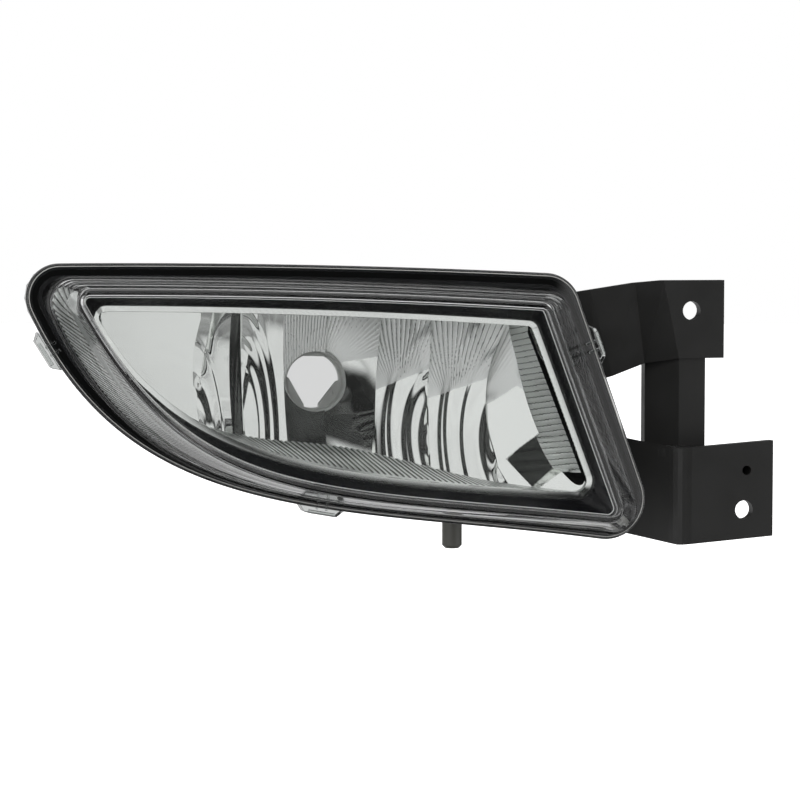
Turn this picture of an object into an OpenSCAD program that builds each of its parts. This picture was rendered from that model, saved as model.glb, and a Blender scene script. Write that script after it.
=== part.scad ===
// Front fog light with its side-mounted carrier bracket and vertical aim adjuster.
// X runs across the lamp, -Y is the direction of light, +Z is up.
// The origin is on the bulb axis, at the rear face of the bulb port. Millimetres.

/* [Lens and rim] */
// Y of the lens front face
lens_front_y = -62.5; // [-66:0.5:-60]
// Y of the front of the rim flange
flange_y = -42; // [-43:0.5:-41]
// Wall thickness of the clear lens
lens_wall = 2.5; // [1.5:0.1:3]
// Bulge of the long top edge above a straight line
top_crown = 1.2; // [0:0.1:2]

/* [Housing] */
// Wall thickness of the housing
shell_wall = 2.4; // [1.8:0.1:3]
// Y of the outer face of the housing's rear wall
rear_y = -8; // [-9:0.5:-7]
// Radius of the bulb seat in the port ring
port_r = 10; // [9:0.1:10.5]

/* [Reflector] */
// Y of the reflector's front lip
lip_y = -50; // [-51:0.5:-49]
// Thickness of the reflector shell
mirror_wall = 1.6; // [1.5:0.1:2]

/* [Bracket] */
// Thickness of the mounting ears
ear_t = 4; // [3:0.5:5]
// Radius of the two bolt holes
bolt_r = 3.6; // [3.2:0.1:4]
// Front face of the upper ear
upper_ear_y = -14; // [-15:0.5:-13]
// Front face of the lower ear
lower_ear_y = -27; // [-28:0.5:-26]

/* [Aim adjuster] */
// Height of the tilt axis
pivot_z = -24; // [-25:0.5:-23]
// Depth of the tilt axis
pivot_y = 3; // [2:0.5:4]
// Place of the adjuster stem across the lamp
stem_x = 64; // [63:0.5:65]
// Depth of the adjuster stem behind the origin
stem_y = 25; // [24:0.5:26]
// Pitch of the adjuster thread
thread_pitch = 1.5; // [1.5:0.25:2]

/* [Hidden] */
$fn = 48;

// An outline level: three sharp corners, the two handles of the long lower curve, three radii.
// Corners in order: top left, top right, bottom right; seen from the front.
RIM = [[-117, 44.6], [90.3, 40], [127.5, -62.4], [-3, -43], [-73, -50], [12, 14, 15]];
STEP = [[-106, 39], [87, 32.2], [119.5, -57.5], [-8, -41], [-68, -46], [8, 9, 8]];
FACE = [[-98.5, 36.1], [76.5, 30.1], [107.4, -52], [-11, -37.7], [-56, -43], [5, 5, 5.5]];
MOUTH = [[-90.3, 29.4], [73.5, 22.6], [98.4, -42.6], [-8, -34.3], [-58.5, -26], [4, 4, 6]];
REAR = [[-64, 28], [72, 25], [98, -41], [-2, -37], [-44, -26], [9, 9, 9]];

corner_steps = 5;
curve_steps = 22;
top_steps = 6;

mirror_centre = [2, -5];
lens_flange_t = 3.2;
channel_y = flange_y + lens_flange_t;
seal_depth = 3;
bezel_front_y = lens_front_y + 5.5;

// Snap tabs of the lens: x, z, direction of the edge, width, how far they stand out
lens_tabs = [[-101.8, 13.2, 121.5, 9, 2.6], [-4, -44.45, 169.5, 10, 2.6], [99.9, 13.7, -69.5, 9, 2.6]];

screw_places = [[-27, 5], [37, 5], [28, -15]];
screw_r = 1.5;
boss_r = 3.6;
neck_r = 17;
seal_r = 14.5;
port_outer_r = 11.9;
vent_x = -44;
vent_z = 9;
vent_r = 4;
vent_bore_r = 2;

// Tilt pivots: two steel pins along X
pin_r = 2.5;
pin_run = 0.05;
bush_r = 4;
lug_r = 6.5;
lug_t = 5;
lug_xs = [40, 86];
frame_lug_xs = [47, 79];
flange_gap = frame_lug_xs[0] - lug_xs[0] - lug_t - 0.2;
pin_end_x = lug_xs[0] - lug_t / 2 - 2.2;
clip_x = lug_xs[0] - lug_t / 2 - 1;
clip_t = 0.7;

// Adjuster
stem_r = 3.9;
thread_r = 3;
journal_r = 2.5;
stem_low_z = -68.2;
stem_top_z = -3;
guide_low_z = -42;
guide_high_z = -10;
guide_t = 4;
stem_bush_r = 5;
nut_half = 5;
trunnion_r = 2;
fork_gap = 13;
fork_t = 3;

// Carrier plate behind the lamp
plate_y = 11;
plate_t = 4;

// Shelf under the strut
shelf_z = -27.2;
shelf_t = 3.2;

function unit(v) = v / norm(v);
// Arc that rounds corner p between its neighbours a and b
function round_corner(a, p, b, r) =
    let (u = unit(a - p), v = unit(b - p), half = acos(u * v) / 2,
         c = p + unit(u + v) * r / sin(half),
         s = p + u * r / tan(half) - c, e = p + v * r / tan(half) - c,
         a0 = atan2(s[1], s[0]),
         turn = (atan2(e[1], e[0]) - a0 + 540) % 360 - 180)
    [for (i = [0:corner_steps]) c + r * [cos(a0 + turn * i / corner_steps),
                                         sin(a0 + turn * i / corner_steps)]];
function bezier(a, b, c, d, t) =
    pow(1 - t, 3) * a + 3 * pow(1 - t, 2) * t * b + 3 * (1 - t) * t * t * c + pow(t, 3) * d;
// Closed outline of a level, clockwise seen from the front, always with the same point count
function outline(L) =
    let (tr = round_corner(L[0], L[1], L[2], L[5][1]), br = round_corner(L[1], L[2], L[3], L[5][2]),
         tl = round_corner(L[4], L[0], L[1], L[5][0]),
         from = br[corner_steps], to = tl[0], left = tl[corner_steps], right = tr[0])
    concat(tr, br,
           [for (i = [1:curve_steps - 1]) bezier(from, L[3], L[4], to, i / curve_steps)],
           tl,
           [for (i = [1:top_steps - 1]) let (t = i / top_steps)
               left + (right - left) * t + [0, top_crown * 4 * t * (1 - t)]]);
// Corner b of an outline once both its edges have moved inwards by d
function moved_corner(a, b, c, d) =
    let (u = unit(b - a), v = unit(c - b), n = [u[1] + v[1], -u[0] - v[0]])
    b + n * d / (1 + u * v);
// Outline level moved inwards by d (outwards when d is negative)
function moved(L, d) =
    concat([for (i = [0:4]) moved_corner(L[(i + 4) % 5], L[i], L[(i + 1) % 5], d)],
           [[for (r = L[5]) max(r - d, 0.8)]]);
function at_y(p, y) = [for (q = p) [q[0], y, q[1]]];
// Ring of an outline level, moved inwards by d, at depth y
function ring(L, d, y) = at_y(outline(moved(L, d)), y);
// Level shrunk by the factor s about the point c
function shrunk(L, c, s) = concat([for (i = [0:4]) c + s * (L[i] - c)], [s * L[5]]);

// Solid through a chain of rings. Open: the first ring is capped towards -Y, the last
// towards +Y. Closed: the last ring joins the first, which makes a frame.
module loft(rings, closed = false) {
    n = len(rings[0]);
    m = len(rings);
    last = closed ? m - 1 : m - 2;
    sides = [for (k = [0:last], j = [0:n - 1])
                let (a = k * n + j, b = k * n + (j + 1) % n,
                     d = ((k + 1) % m) * n + j, c = ((k + 1) % m) * n + (j + 1) % n)
                each [[a, d, c], [a, c, b]]];
    caps = closed ? [] : [[for (j = [0:n - 1]) j], [for (j = [n - 1:-1:0]) (m - 1) * n + j]];
    polyhedron([for (r = rings) each r], concat(sides, caps));
}

// Plate of thickness t along Y that follows slanted folds: top and bottom front edge points
module folded_plate(top, bottom, t) {
    n = len(top);
    back = [0, t, 0];
    loops = [for (i = [0:n - 1]) each [top[i], top[i] + back, bottom[i] + back, bottom[i]]];
    sides = [for (k = [0:n - 2], j = [0:3])
                let (a = k * 4 + j, b = k * 4 + (j + 1) % 4)
                each [[a, b + 4, a + 4], [a, b, b + 4]]];
    polyhedron(loops, concat(sides, [[3, 2, 1, 0], [for (j = [0:3]) (n - 1) * 4 + j]]));
}

// Cylinder along Y from y0 to y1 at (x, z)
module rod_y(x, z, y0, y1, r) {
    translate([x, y0, z]) rotate([-90, 0, 0]) cylinder(r = r, h = y1 - y0);
}
// Cylinder along X from x0 to x1 at (y, z)
module rod_x(x0, x1, y, z, r) {
    translate([x0, y, z]) rotate([0, 90, 0]) cylinder(r = r, h = x1 - x0);
}
// Box between two corners
module block(lo, hi) {
    translate(lo) cube(hi - lo);
}

// Snap tab of the lens, folded back outside the housing rim; angle is the edge's direction
module lens_tab(x, z, angle, width, proud) {
    half = width / 2;
    translate([x, 0, z]) rotate([90, 0, 0]) rotate([0, 0, angle]) {
        translate([0, 0, -channel_y]) linear_extrude(lens_flange_t - 0.2)
            polygon([[-half - 3, -2], [-half, proud], [half, proud], [half + 3, -2]]);
        translate([0, 0, -channel_y - 4.5]) linear_extrude(5)
            polygon([[-half, 0.2], [-half, proud], [half, proud], [half, 0.2]]);
    }
}

module lens() {
    color([0.8, 0.84, 0.86, 0.35]) {
        loft([ring(FACE, 14, lens_front_y), ring(FACE, 2, lens_front_y + 0.4),
              ring(FACE, 0, lens_front_y + 2), ring(STEP, 0, flange_y - 1), ring(STEP, -1, flange_y),
              ring(RIM, 0.8, flange_y), ring(RIM, 0, flange_y + 0.8), ring(RIM, 0, channel_y),
              ring(STEP, lens_wall, channel_y), ring(FACE, lens_wall, lens_front_y + 3.5),
              ring(FACE, 14, lens_front_y + lens_wall)]);
        for (t = lens_tabs) lens_tab(t[0], t[1], t[2], t[3], t[4]);
    }
}

module lens_seal() {
    color([0.05, 0.05, 0.05])
        loft([ring(RIM, 2.4, channel_y), ring(RIM, 2.4, channel_y + seal_depth),
              ring(RIM, 4.4, channel_y + seal_depth), ring(RIM, 4.4, channel_y)], closed = true);
}

// Black frame that slopes from the edge of the lens face down to the reflector's lip
module bezel() {
    color([0.06, 0.06, 0.065])
        loft([ring(FACE, 3.3, bezel_front_y), ring(FACE, 3.3, bezel_front_y + 2.4),
              ring(MOUTH, -mirror_wall, lip_y), ring(MOUTH, -0.4, lip_y),
              ring(MOUTH, -0.4, lip_y - 1.8)], closed = true);
}

// Ribbed metallised strip behind the lens' left and lower flank
module fluted_trim() {
    first = 2 * corner_steps + 2 + 9;
    count = curve_steps + corner_steps - 9;
    function span(p) = [for (i = [0:count]) p[(first + i) % len(p)]];
    rings = [span(ring(FACE, 2.5, bezel_front_y)), span(ring(STEP, 3.1, channel_y)),
             span(ring(STEP, 3.9, channel_y)), span(ring(FACE, 3.2, bezel_front_y))];
    loops = [for (i = [0:count]) each [for (r = rings) r[i]]];
    sides = [for (k = [0:count - 1], j = [0:3])
                let (a = k * 4 + j, b = k * 4 + (j + 1) % 4)
                each [[a, b, b + 4], [a, b + 4, a + 4]]];
    color([0.75, 0.76, 0.77])
        polyhedron(loops, concat(sides, [[3, 2, 1, 0], [for (j = [0:3]) count * 4 + j]]));
}

module reflector() {
    function bowl(s, grow, y) = ring(shrunk(MOUTH, mirror_centre, s), -grow, y);
    w = mirror_wall;
    back = lip_y + 33.5;
    color([0.85, 0.86, 0.88]) difference() {
        union() {
            loft([bowl(0.56, 0, back), bowl(0.78, 0, back - 8), bowl(0.93, 0, back - 20),
                  bowl(1, 0, lip_y), bowl(1, w, lip_y), bowl(0.93, w, back - 18.5),
                  bowl(0.78, w, back - 6.5), bowl(0.56, w, back + w)]);
            for (p = screw_places)
                rod_y(p[0], p[1], back + w - 0.5, rear_y - shell_wall, boss_r);
        }
        rod_y(0, 0, back - 10, rear_y, port_outer_r + 0.05);
        for (p = screw_places)
            rod_y(p[0], p[1], back + w, rear_y, screw_r + 0.03);
    }
}

module reflector_screws() {
    color([0.62, 0.62, 0.6]) for (p = screw_places) difference() {
        union() {
            rod_y(p[0], p[1], rear_y - shell_wall - 3.5, rear_y, screw_r);
            rod_y(p[0], p[1], rear_y, rear_y + 2.2, 3.4);
        }
        translate([p[0], rear_y + 1, p[1]]) rotate([-90, 0, 0]) cylinder(r = 1.5, h = 2, $fn = 6);
    }
}

// Bayonet ring that the bulb holder turns into: three lug gaps at the front, a full seat behind
module bulb_port_ring() {
    front = lip_y + 34;
    color([0.6, 0.61, 0.62]) difference() {
        union() {
            rod_y(0, 0, front, 0, port_outer_r);
            rod_y(0, 0, -2, 0, 13);
        }
        rod_y(0, 0, front - 1, 1, port_r);
        for (a = [90, 210, 330])
            rotate([0, a, 0]) block([port_r - 1, front - 1, -2], [port_r + 1.2, -9, 2]);
    }
}

module port_seal() {
    color([0.1, 0.1, 0.1]) difference() {
        rod_y(0, 0, -6.4, -2.05, seal_r - 0.05);
        rod_y(0, 0, -7, 1, port_outer_r + 0.05);
    }
}

// Ear of the housing that carries a tilt bush
module housing_lug(x) {
    hull_front = rear_y - 0.5;
    block([x - lug_t / 2, hull_front, pivot_z - lug_r], [x + lug_t / 2, pivot_y, pivot_z + lug_r]);
    rod_x(x - lug_t / 2, x + lug_t / 2, pivot_y, pivot_z, lug_r);
}

// Forked arm that the adjuster nut lifts and lowers
module lift_fork() {
    for (side = [-1, 1]) {
        x = stem_x + side * (fork_gap + fork_t) / 2;
        block([x - fork_t / 2, rear_y - 0.5, pivot_z - 4.5], [x + fork_t / 2, stem_y + 5, pivot_z + 4.5]);
    }
    block([stem_x - fork_gap / 2 - 0.1, rear_y - 0.5, pivot_z - 4.5],
          [stem_x + fork_gap / 2 + 0.1, 4, pivot_z + 4.5]);
}

module housing() {
    inner_y = rear_y - shell_wall;
    w = shell_wall;
    rim_back = channel_y + 7;
    front = channel_y + 0.05;
    bottom = front + seal_depth;
    color([0.08, 0.08, 0.085]) difference() {
        union() {
            loft([ring(REAR, w, inner_y), ring(RIM, 9, rim_back - 2), ring(RIM, 6, bottom),
                  ring(RIM, 6, front), ring(RIM, 4.45, front), ring(RIM, 4.45, bottom),
                  ring(RIM, 2.35, bottom), ring(RIM, 2.35, front), ring(RIM, 0.6, front),
                  ring(RIM, 0.6, rim_back - 1), ring(RIM, 2, rim_back), ring(RIM, 6.5, rim_back),
                  ring(REAR, 0, rear_y - 2), ring(REAR, 2, rear_y)]);
            rod_y(0, 0, rear_y - 1, -2.05, neck_r);
            rod_y(vent_x, vent_z, rear_y - 1, rear_y + 1.5, vent_r + 2);
            for (x = lug_xs) housing_lug(x);
            lift_fork();
            for (p = screw_places) rod_y(p[0], p[1], rear_y - 1, rear_y, boss_r + 1.5);
        }
        rod_y(0, 0, inner_y - 2, 1, seal_r);
        rod_y(vent_x, vent_z, inner_y - 1, rear_y + 3, vent_r + 0.02);
        for (p = screw_places) rod_y(p[0], p[1], inner_y - 1, rear_y + 1, screw_r + 0.1);
        for (x = lug_xs) rod_x(x - lug_t, x + lug_t, pivot_y, pivot_z, bush_r);
        for (side = [-1, 1]) {
            x = stem_x + side * (fork_gap + fork_t) / 2;
            block([x - fork_t, stem_y - 2.6, pivot_z - trunnion_r - 0.08],
                  [x + fork_t, stem_y + 2.6, pivot_z + trunnion_r + 0.08]);
        }
    }
}

module vent_spigot() {
    color([0.1, 0.1, 0.1]) difference() {
        union() {
            rod_y(vent_x, vent_z, rear_y - shell_wall, rear_y + 7, vent_r);
            rod_y(vent_x, vent_z, rear_y + 1.55, rear_y + 3, vent_r + 1.6);
        }
        rod_y(vent_x, vent_z, rear_y - 6, rear_y + 8, vent_bore_r);
    }
}

module vent_membrane() {
    color([0.92, 0.92, 0.9]) rod_y(vent_x, vent_z, rear_y + 7, rear_y + 7.4, vent_r - 0.3);
}

module vent_cap() {
    color([0.06, 0.06, 0.06]) difference() {
        union() {
            rod_y(vent_x, vent_z, rear_y + 3.05, rear_y + 10, vent_r + 1.8);
            rod_y(vent_x, vent_z, rear_y + 8, rear_y + 10, vent_r + 2.6);
        }
        rod_y(vent_x, vent_z, rear_y + 2, rear_y + 8.2, vent_r + 0.05);
        block([vent_x - 1.2, rear_y + 2, vent_z - 8], [vent_x + 1.2, rear_y + 7.6, vent_z]);
    }
}

module pivot_bushes() {
    color([0.9, 0.89, 0.84]) for (i = [0, 1]) difference() {
        x = lug_xs[i];
        inner = i == 0 ? x + lug_t / 2 : x - lug_t / 2 - flange_gap;
        union() {
            rod_x(x - lug_t / 2, x + lug_t / 2, pivot_y, pivot_z, bush_r - 0.02);
            rod_x(inner, inner + flange_gap, pivot_y, pivot_z, bush_r + 1.6);
        }
        rod_x(x - lug_t - 1, x + lug_t + 1, pivot_y, pivot_z, pin_r + pin_run);
    }
}

// The inner pin, and its mirror image at the outer lugs
module both_sides() {
    children();
    translate([lug_xs[0] + lug_xs[1], 0, 0]) mirror([1, 0, 0]) children();
}

// Steel pins pressed in the bracket lugs; the head is inside, a groove outside takes the clip
module pivot_pins() {
    head_x = frame_lug_xs[0] + lug_t / 2;
    color([0.7, 0.7, 0.72]) both_sides() difference() {
        union() {
            rod_x(pin_end_x, head_x + 1, pivot_y, pivot_z, pin_r);
            rod_x(head_x, head_x + 2, pivot_y, pivot_z, 4.4);
        }
        difference() {
            rod_x(clip_x - 0.05, clip_x + clip_t + 0.05, pivot_y, pivot_z, pin_r + 1);
            rod_x(pin_end_x - 1, head_x, pivot_y, pivot_z, pin_r - 0.5);
        }
    }
}

module pin_clips() {
    color([0.45, 0.46, 0.48]) both_sides() difference() {
        rod_x(clip_x, clip_x + clip_t, pivot_y, pivot_z, 5);
        rod_x(clip_x - 1, clip_x + clip_t + 1, pivot_y, pivot_z, pin_r - 0.45);
        block([clip_x - 1, pivot_y - 1.9, pivot_z], [clip_x + clip_t + 1, pivot_y + 1.9, pivot_z + 6]);
    }
}

// Horizontal guide of the bracket that holds a stem bush
module stem_guide(z) {
    block([stem_x - 9, plate_y + plate_t - 0.5, z - guide_t], [stem_x + 9, stem_y, z]);
    translate([stem_x, stem_y, z - guide_t]) cylinder(r = 9, h = guide_t);
}

module upper_arm() {
    ear_x1 = 161.7;
    top = 36.8;
    low = 6.8;
    e = upper_ear_y;
    folded_plate([[101, plate_y, 30], [107, 0, 32.2], [111.5, -2, 33], [129, -4, 35.7], [137, e, top],
                  [ear_x1, e, top]],
                 [[107, plate_y, -4], [115, 0, -2], [120.5, -2, -0.3], [133, -4, 4.6], [143.3, e, low],
                  [ear_x1, e, low]], ear_t);
}

module strut() {
    e = upper_ear_y + 0.6;
    folded_plate([[134, -1.5, 7.5], [143.6, e, 9], [154.3, e, 9]],
                 [[134, -1.5, -27], [143.6, e, -27], [154.3, e, -27]], ear_t);
}

// Deep lower arm: comes forward from behind the lamp, bends round into the lower ear
module lower_arm() {
    e = lower_ear_y;
    bend = [139, e];
    outer = [177, e];
    inner = [124, -8];
    plan = concat([[104, plate_y], inner], round_corner(inner, bend, outer, 10), [outer]);
    top = [for (q = plan) q[0] < bend[0] ? -26.9 + (bend[0] - q[0]) * 0.21
                                         : -26.9 + (q[0] - bend[0]) * 0.066];
    low = [for (q = plan) q[0] < bend[0] ? -63.7 + (bend[0] - q[0]) * 0.21
                                         : -63.7 + (q[0] - bend[0]) * 0.068];
    folded_plate([for (i = [0:len(plan) - 1]) [plan[i][0], plan[i][1], top[i]]],
                 [for (i = [0:len(plan) - 1]) [plan[i][0], plan[i][1], low[i]]], ear_t);
    translate([0, 0, shelf_z - shelf_t]) linear_extrude(shelf_t)
        polygon([inner + [1, 1], bend + [-5, 6], bend + [0, 1.5], [155, e + 1.5], [155, -8],
                 [136, 2], [122, 4]]);
}

// Carrier plate behind the lamp with a window for the fork
module carrier_plate() {
    y0 = plate_y;
    y1 = plate_y + plate_t;
    difference() {
        union() {
            block([36, y0, -42], [112, y1, -6]);
            block([96, y0, -58], [112, y1, 30]);
            block([40, y1 - 0.5, -9], [96, y1 + 4, -6]);
            block([76, y1 - 0.5, -42], [96, y1 + 4, -39]);
            block([36, y1 - 0.5, -42], [52, y1 + 4, -39]);
        }
        block([stem_x - 11, y0 - 1, pivot_z - 9], [stem_x + 11, y1 + 1, pivot_z + 9]);
    }
}

module mounting_bracket() {
    color([0.1, 0.1, 0.1]) difference() {
        union() {
            carrier_plate();
            upper_arm();
            strut();
            lower_arm();
            for (x = frame_lug_xs) {
                block([x - lug_t / 2, pivot_y, pivot_z - lug_r],
                      [x + lug_t / 2, plate_y + 1, pivot_z + lug_r]);
                rod_x(x - lug_t / 2, x + lug_t / 2, pivot_y, pivot_z, lug_r);
            }
            stem_guide(guide_low_z);
            stem_guide(guide_high_z);
            rod_y(166.2, -35.7, lower_ear_y + 1, lower_ear_y + ear_t + 7, 3.2);
        }
        for (x = frame_lug_xs) rod_x(x - lug_t, x + lug_t, pivot_y, pivot_z, pin_r);
        translate([stem_x, stem_y, guide_low_z - guide_t - 1])
            cylinder(r = stem_bush_r, h = guide_high_z - guide_low_z + guide_t + 2);
        rod_y(148.4, 25.1, upper_ear_y - 1, upper_ear_y + ear_t + 1, bolt_r);
        rod_y(165.2, -50.8, lower_ear_y - 1, lower_ear_y + ear_t + 1, bolt_r);
        rod_y(166.2, -35.7, lower_ear_y - 1, lower_ear_y + ear_t + 4, 1.8);
    }
}

module stem_bushes() {
    color([0.9, 0.89, 0.84]) difference() {
        union() {
            for (z = [guide_low_z, guide_high_z]) {
                translate([stem_x, stem_y, z - guide_t]) cylinder(r = stem_bush_r - 0.02, h = guide_t);
                translate([stem_x, stem_y, z]) cylinder(r = stem_bush_r + 1.2, h = 0.8);
            }
        }
        translate([stem_x, stem_y, guide_low_z - guide_t - 1]) cylinder(r = thread_r + 0.35, h = 20);
        translate([stem_x, stem_y, guide_high_z - guide_t - 1]) cylinder(r = journal_r + 0.05, h = 10);
    }
}

// Grey adjuster: drive end below, collar under the lower guide, threaded shank, top journal
module adjuster_stem() {
    collar_z = guide_low_z - guide_t - 1.1;
    thread_z = guide_low_z + 2;
    turns = floor((guide_high_z - guide_t - 2 - thread_z) / thread_pitch);
    thread = [for (i = [0:turns - 1]) each [[thread_r, thread_z + i * thread_pitch],
                                            [thread_r - 0.6, thread_z + (i + 0.5) * thread_pitch]]];
    color([0.33, 0.33, 0.31]) translate([stem_x, stem_y, 0]) difference() {
        union() {
            rotate_extrude() polygon(concat(
                [[0, stem_low_z], [stem_r - 1.2, stem_low_z], [stem_r, stem_low_z + 1.2],
                 [stem_r, collar_z - 2.5], [6.2, collar_z - 2.5], [6.2, collar_z], [thread_r, collar_z]],
                thread,
                [[thread_r, guide_high_z - guide_t - 1.5], [journal_r, guide_high_z - guide_t - 1],
                 [journal_r, stem_top_z - 0.5], [journal_r - 0.5, stem_top_z], [0, stem_top_z]]));
        }
        translate([0, 0, stem_low_z - 1]) cylinder(r = 2.3, h = 6, $fn = 6);
        difference() {
            translate([0, 0, -8.4]) cylinder(r = journal_r + 1, h = 0.8);
            translate([0, 0, -9]) cylinder(r = journal_r - 0.5, h = 2);
        }
        rod_y(0, -57.5, -stem_r - 1, 0.5 - stem_r, 1.1);
    }
}

module stem_clip() {
    color([0.45, 0.46, 0.48]) translate([stem_x, stem_y, 0]) difference() {
        translate([0, 0, -8.35]) cylinder(r = 5, h = 0.7);
        translate([0, 0, -9]) cylinder(r = journal_r - 0.45, h = 2);
        block([-1.9, 0, -9], [1.9, 6, -7]);
    }
}

// Friction washer between the stem's collar and the lower guide
module stem_washer() {
    color([0.6, 0.6, 0.6]) translate([stem_x, stem_y, guide_low_z - guide_t - 0.95]) difference() {
        cylinder(r = 6.2, h = 0.8);
        translate([0, 0, -1]) cylinder(r = thread_r + 0.1, h = 3);
    }
}

module adjuster_nut() {
    h = nut_half - 0.6;
    color([0.9, 0.89, 0.84]) difference() {
        union() {
            block([stem_x - nut_half, stem_y - nut_half, pivot_z - h],
                  [stem_x + nut_half, stem_y + nut_half, pivot_z + h]);
            rod_x(stem_x - fork_gap / 2 - fork_t - 0.6, stem_x + fork_gap / 2 + fork_t + 0.6,
                  stem_y, pivot_z, trunnion_r);
        }
        translate([stem_x, stem_y, pivot_z - 9]) cylinder(r = thread_r + 0.08, h = 18);
    }
}

lens();
lens_seal();
bezel();
fluted_trim();
reflector();
reflector_screws();
bulb_port_ring();
port_seal();
housing();
vent_spigot();
vent_membrane();
vent_cap();
pivot_bushes();
mounting_bracket();
pivot_pins();
pin_clips();
adjuster_stem();
stem_bushes();
stem_clip();
stem_washer();
adjuster_nut();
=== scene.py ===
"""Front fog light: clear lens, black bezel, fluted side trim, multi-facet mirror reflector and black
housing on a side bracket. Lengths in the design tables are millimetres; Blender gets metres."""
import math

import bpy
import numpy as np
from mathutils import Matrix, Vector


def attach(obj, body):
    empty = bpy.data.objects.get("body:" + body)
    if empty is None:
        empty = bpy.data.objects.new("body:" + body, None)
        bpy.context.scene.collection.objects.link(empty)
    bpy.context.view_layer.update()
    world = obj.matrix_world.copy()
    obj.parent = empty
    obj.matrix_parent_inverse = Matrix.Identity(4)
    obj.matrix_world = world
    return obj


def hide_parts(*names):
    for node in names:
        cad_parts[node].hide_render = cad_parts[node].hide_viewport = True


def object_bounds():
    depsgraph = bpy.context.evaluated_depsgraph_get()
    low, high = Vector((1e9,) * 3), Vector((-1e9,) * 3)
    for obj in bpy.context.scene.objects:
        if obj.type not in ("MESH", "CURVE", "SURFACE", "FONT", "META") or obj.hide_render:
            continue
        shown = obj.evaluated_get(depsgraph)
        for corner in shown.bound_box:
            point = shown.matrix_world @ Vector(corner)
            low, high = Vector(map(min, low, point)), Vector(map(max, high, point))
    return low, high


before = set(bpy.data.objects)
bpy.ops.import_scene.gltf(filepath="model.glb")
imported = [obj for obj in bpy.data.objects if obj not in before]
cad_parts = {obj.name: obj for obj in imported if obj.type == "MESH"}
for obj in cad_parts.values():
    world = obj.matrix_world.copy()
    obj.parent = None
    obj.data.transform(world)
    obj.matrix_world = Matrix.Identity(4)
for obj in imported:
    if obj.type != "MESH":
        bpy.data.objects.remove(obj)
cad_low, cad_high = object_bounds()

MM = 0.001

# ---------------------------------------------------------------- outlines of the lamp
# Corners (top left, top right, bottom right), the two handles of the long lower curve, corner radii.
RIM = [(-117, 44.6), (90.3, 40), (127.5, -62.4), (-3, -43), (-73, -50), (12, 14, 15)]
STEP = [(-106, 39), (87, 32.2), (119.5, -57.5), (-8, -41), (-68, -46), (8, 9, 8)]
FACE = [(-98.5, 36.1), (76.5, 30.1), (107.4, -52), (-11, -37.7), (-56, -43), (5, 5, 5.5)]
MOUTH = [(-90.3, 29.4), (73.5, 22.6), (98.4, -42.6), (-8, -34.3), (-58.5, -26), (4, 4, 6)]
TOP_CROWN = 1.2
CORNER_STEPS, CURVE_STEPS, TOP_STEPS = 14, 110, 40

# Depths (Y): lens front face, front of the rim flange, rear of the rim, bezel front edge, mirror lip, fold
# behind the lip, and the reflector's rear limit
LENS_FRONT = -62.5
FLANGE = -42.0
CHANNEL = -38.8
BEZEL_FRONT = -57.0
LIP = -50.0
LIP_FOLD = LIP + 1.2
REFLECTOR_BACK = -11.0


def unit(v):
    return v / np.linalg.norm(v)


def round_corner(a, p, b, r):
    """Points of the arc of radius r that rounds corner p between its neighbours a and b."""
    a, p, b = (np.array(q, float) for q in (a, p, b))
    u, v = unit(a - p), unit(b - p)
    half = math.acos(float(u @ v)) / 2
    centre = p + unit(u + v) * r / math.sin(half)
    s, e = p + u * r / math.tan(half) - centre, p + v * r / math.tan(half) - centre
    start = math.atan2(s[1], s[0])
    turn = (math.atan2(e[1], e[0]) - start + 3 * math.pi) % (2 * math.pi) - math.pi
    t = start + turn * np.linspace(0, 1, CORNER_STEPS + 1)
    return centre + r * np.stack([np.cos(t), np.sin(t)], 1)


def outline(level):
    """Closed outline of a level in X and Z, clockwise seen from the front."""
    tl, tr, br, h1, h2, radii = level
    right_top = round_corner(tl, tr, br, radii[1])
    right_low = round_corner(tr, br, h1, radii[2])
    left_top = round_corner(h2, tl, tr, radii[0])
    t = np.linspace(0, 1, CURVE_STEPS + 1)[1:-1, None]
    a, b, c, d = right_low[-1], np.array(h1), np.array(h2), left_top[0]
    curve = (1 - t) ** 3 * a + 3 * (1 - t) ** 2 * t * b + 3 * (1 - t) * t * t * c + t ** 3 * d
    s = np.linspace(0, 1, TOP_STEPS + 1)[1:-1, None]
    top = left_top[-1] + (right_top[0] - left_top[-1]) * s
    top[:, 1] += (TOP_CROWN * 4 * s * (1 - s))[:, 0]
    return np.concatenate([right_top, right_low, curve, left_top, top])


def moved(level, d):
    """The level with all its edges moved inwards by d."""
    corners = [np.array(c, float) for c in level[:5]]
    out = []
    for i, b in enumerate(corners):
        u, v = unit(b - corners[i - 1]), unit(corners[(i + 1) % 5] - b)
        n = np.array([u[1] + v[1], -u[0] - v[0]])
        out.append(tuple(b + n * d / (1 + u @ v)))
    return (*out, tuple(max(r - d, 0.8) for r in level[5]))


def blend(first, second, t):
    """Level between two levels."""
    return tuple(tuple(np.array(a) * (1 - t) + np.array(b) * t) for a, b in zip(first, second))


def at_y(p, y):
    """Points of an X and Z outline at depth y."""
    return np.stack([p[:, 0], np.full(len(p), float(y)), p[:, 1]], 1)


def ring(level, d, y):
    """Outline of a level moved inwards by d, at depth y."""
    return at_y(outline(moved(level, d)), y)


def rings(specs):
    """Outlines from (level, distance moved inwards, depth) entries."""
    return [ring(*spec) for spec in specs]


def rise(x, start, length):
    """0 up to the start, 1 from start + length, straight in between."""
    return np.clip((x - start) / length, 0, 1)


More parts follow.
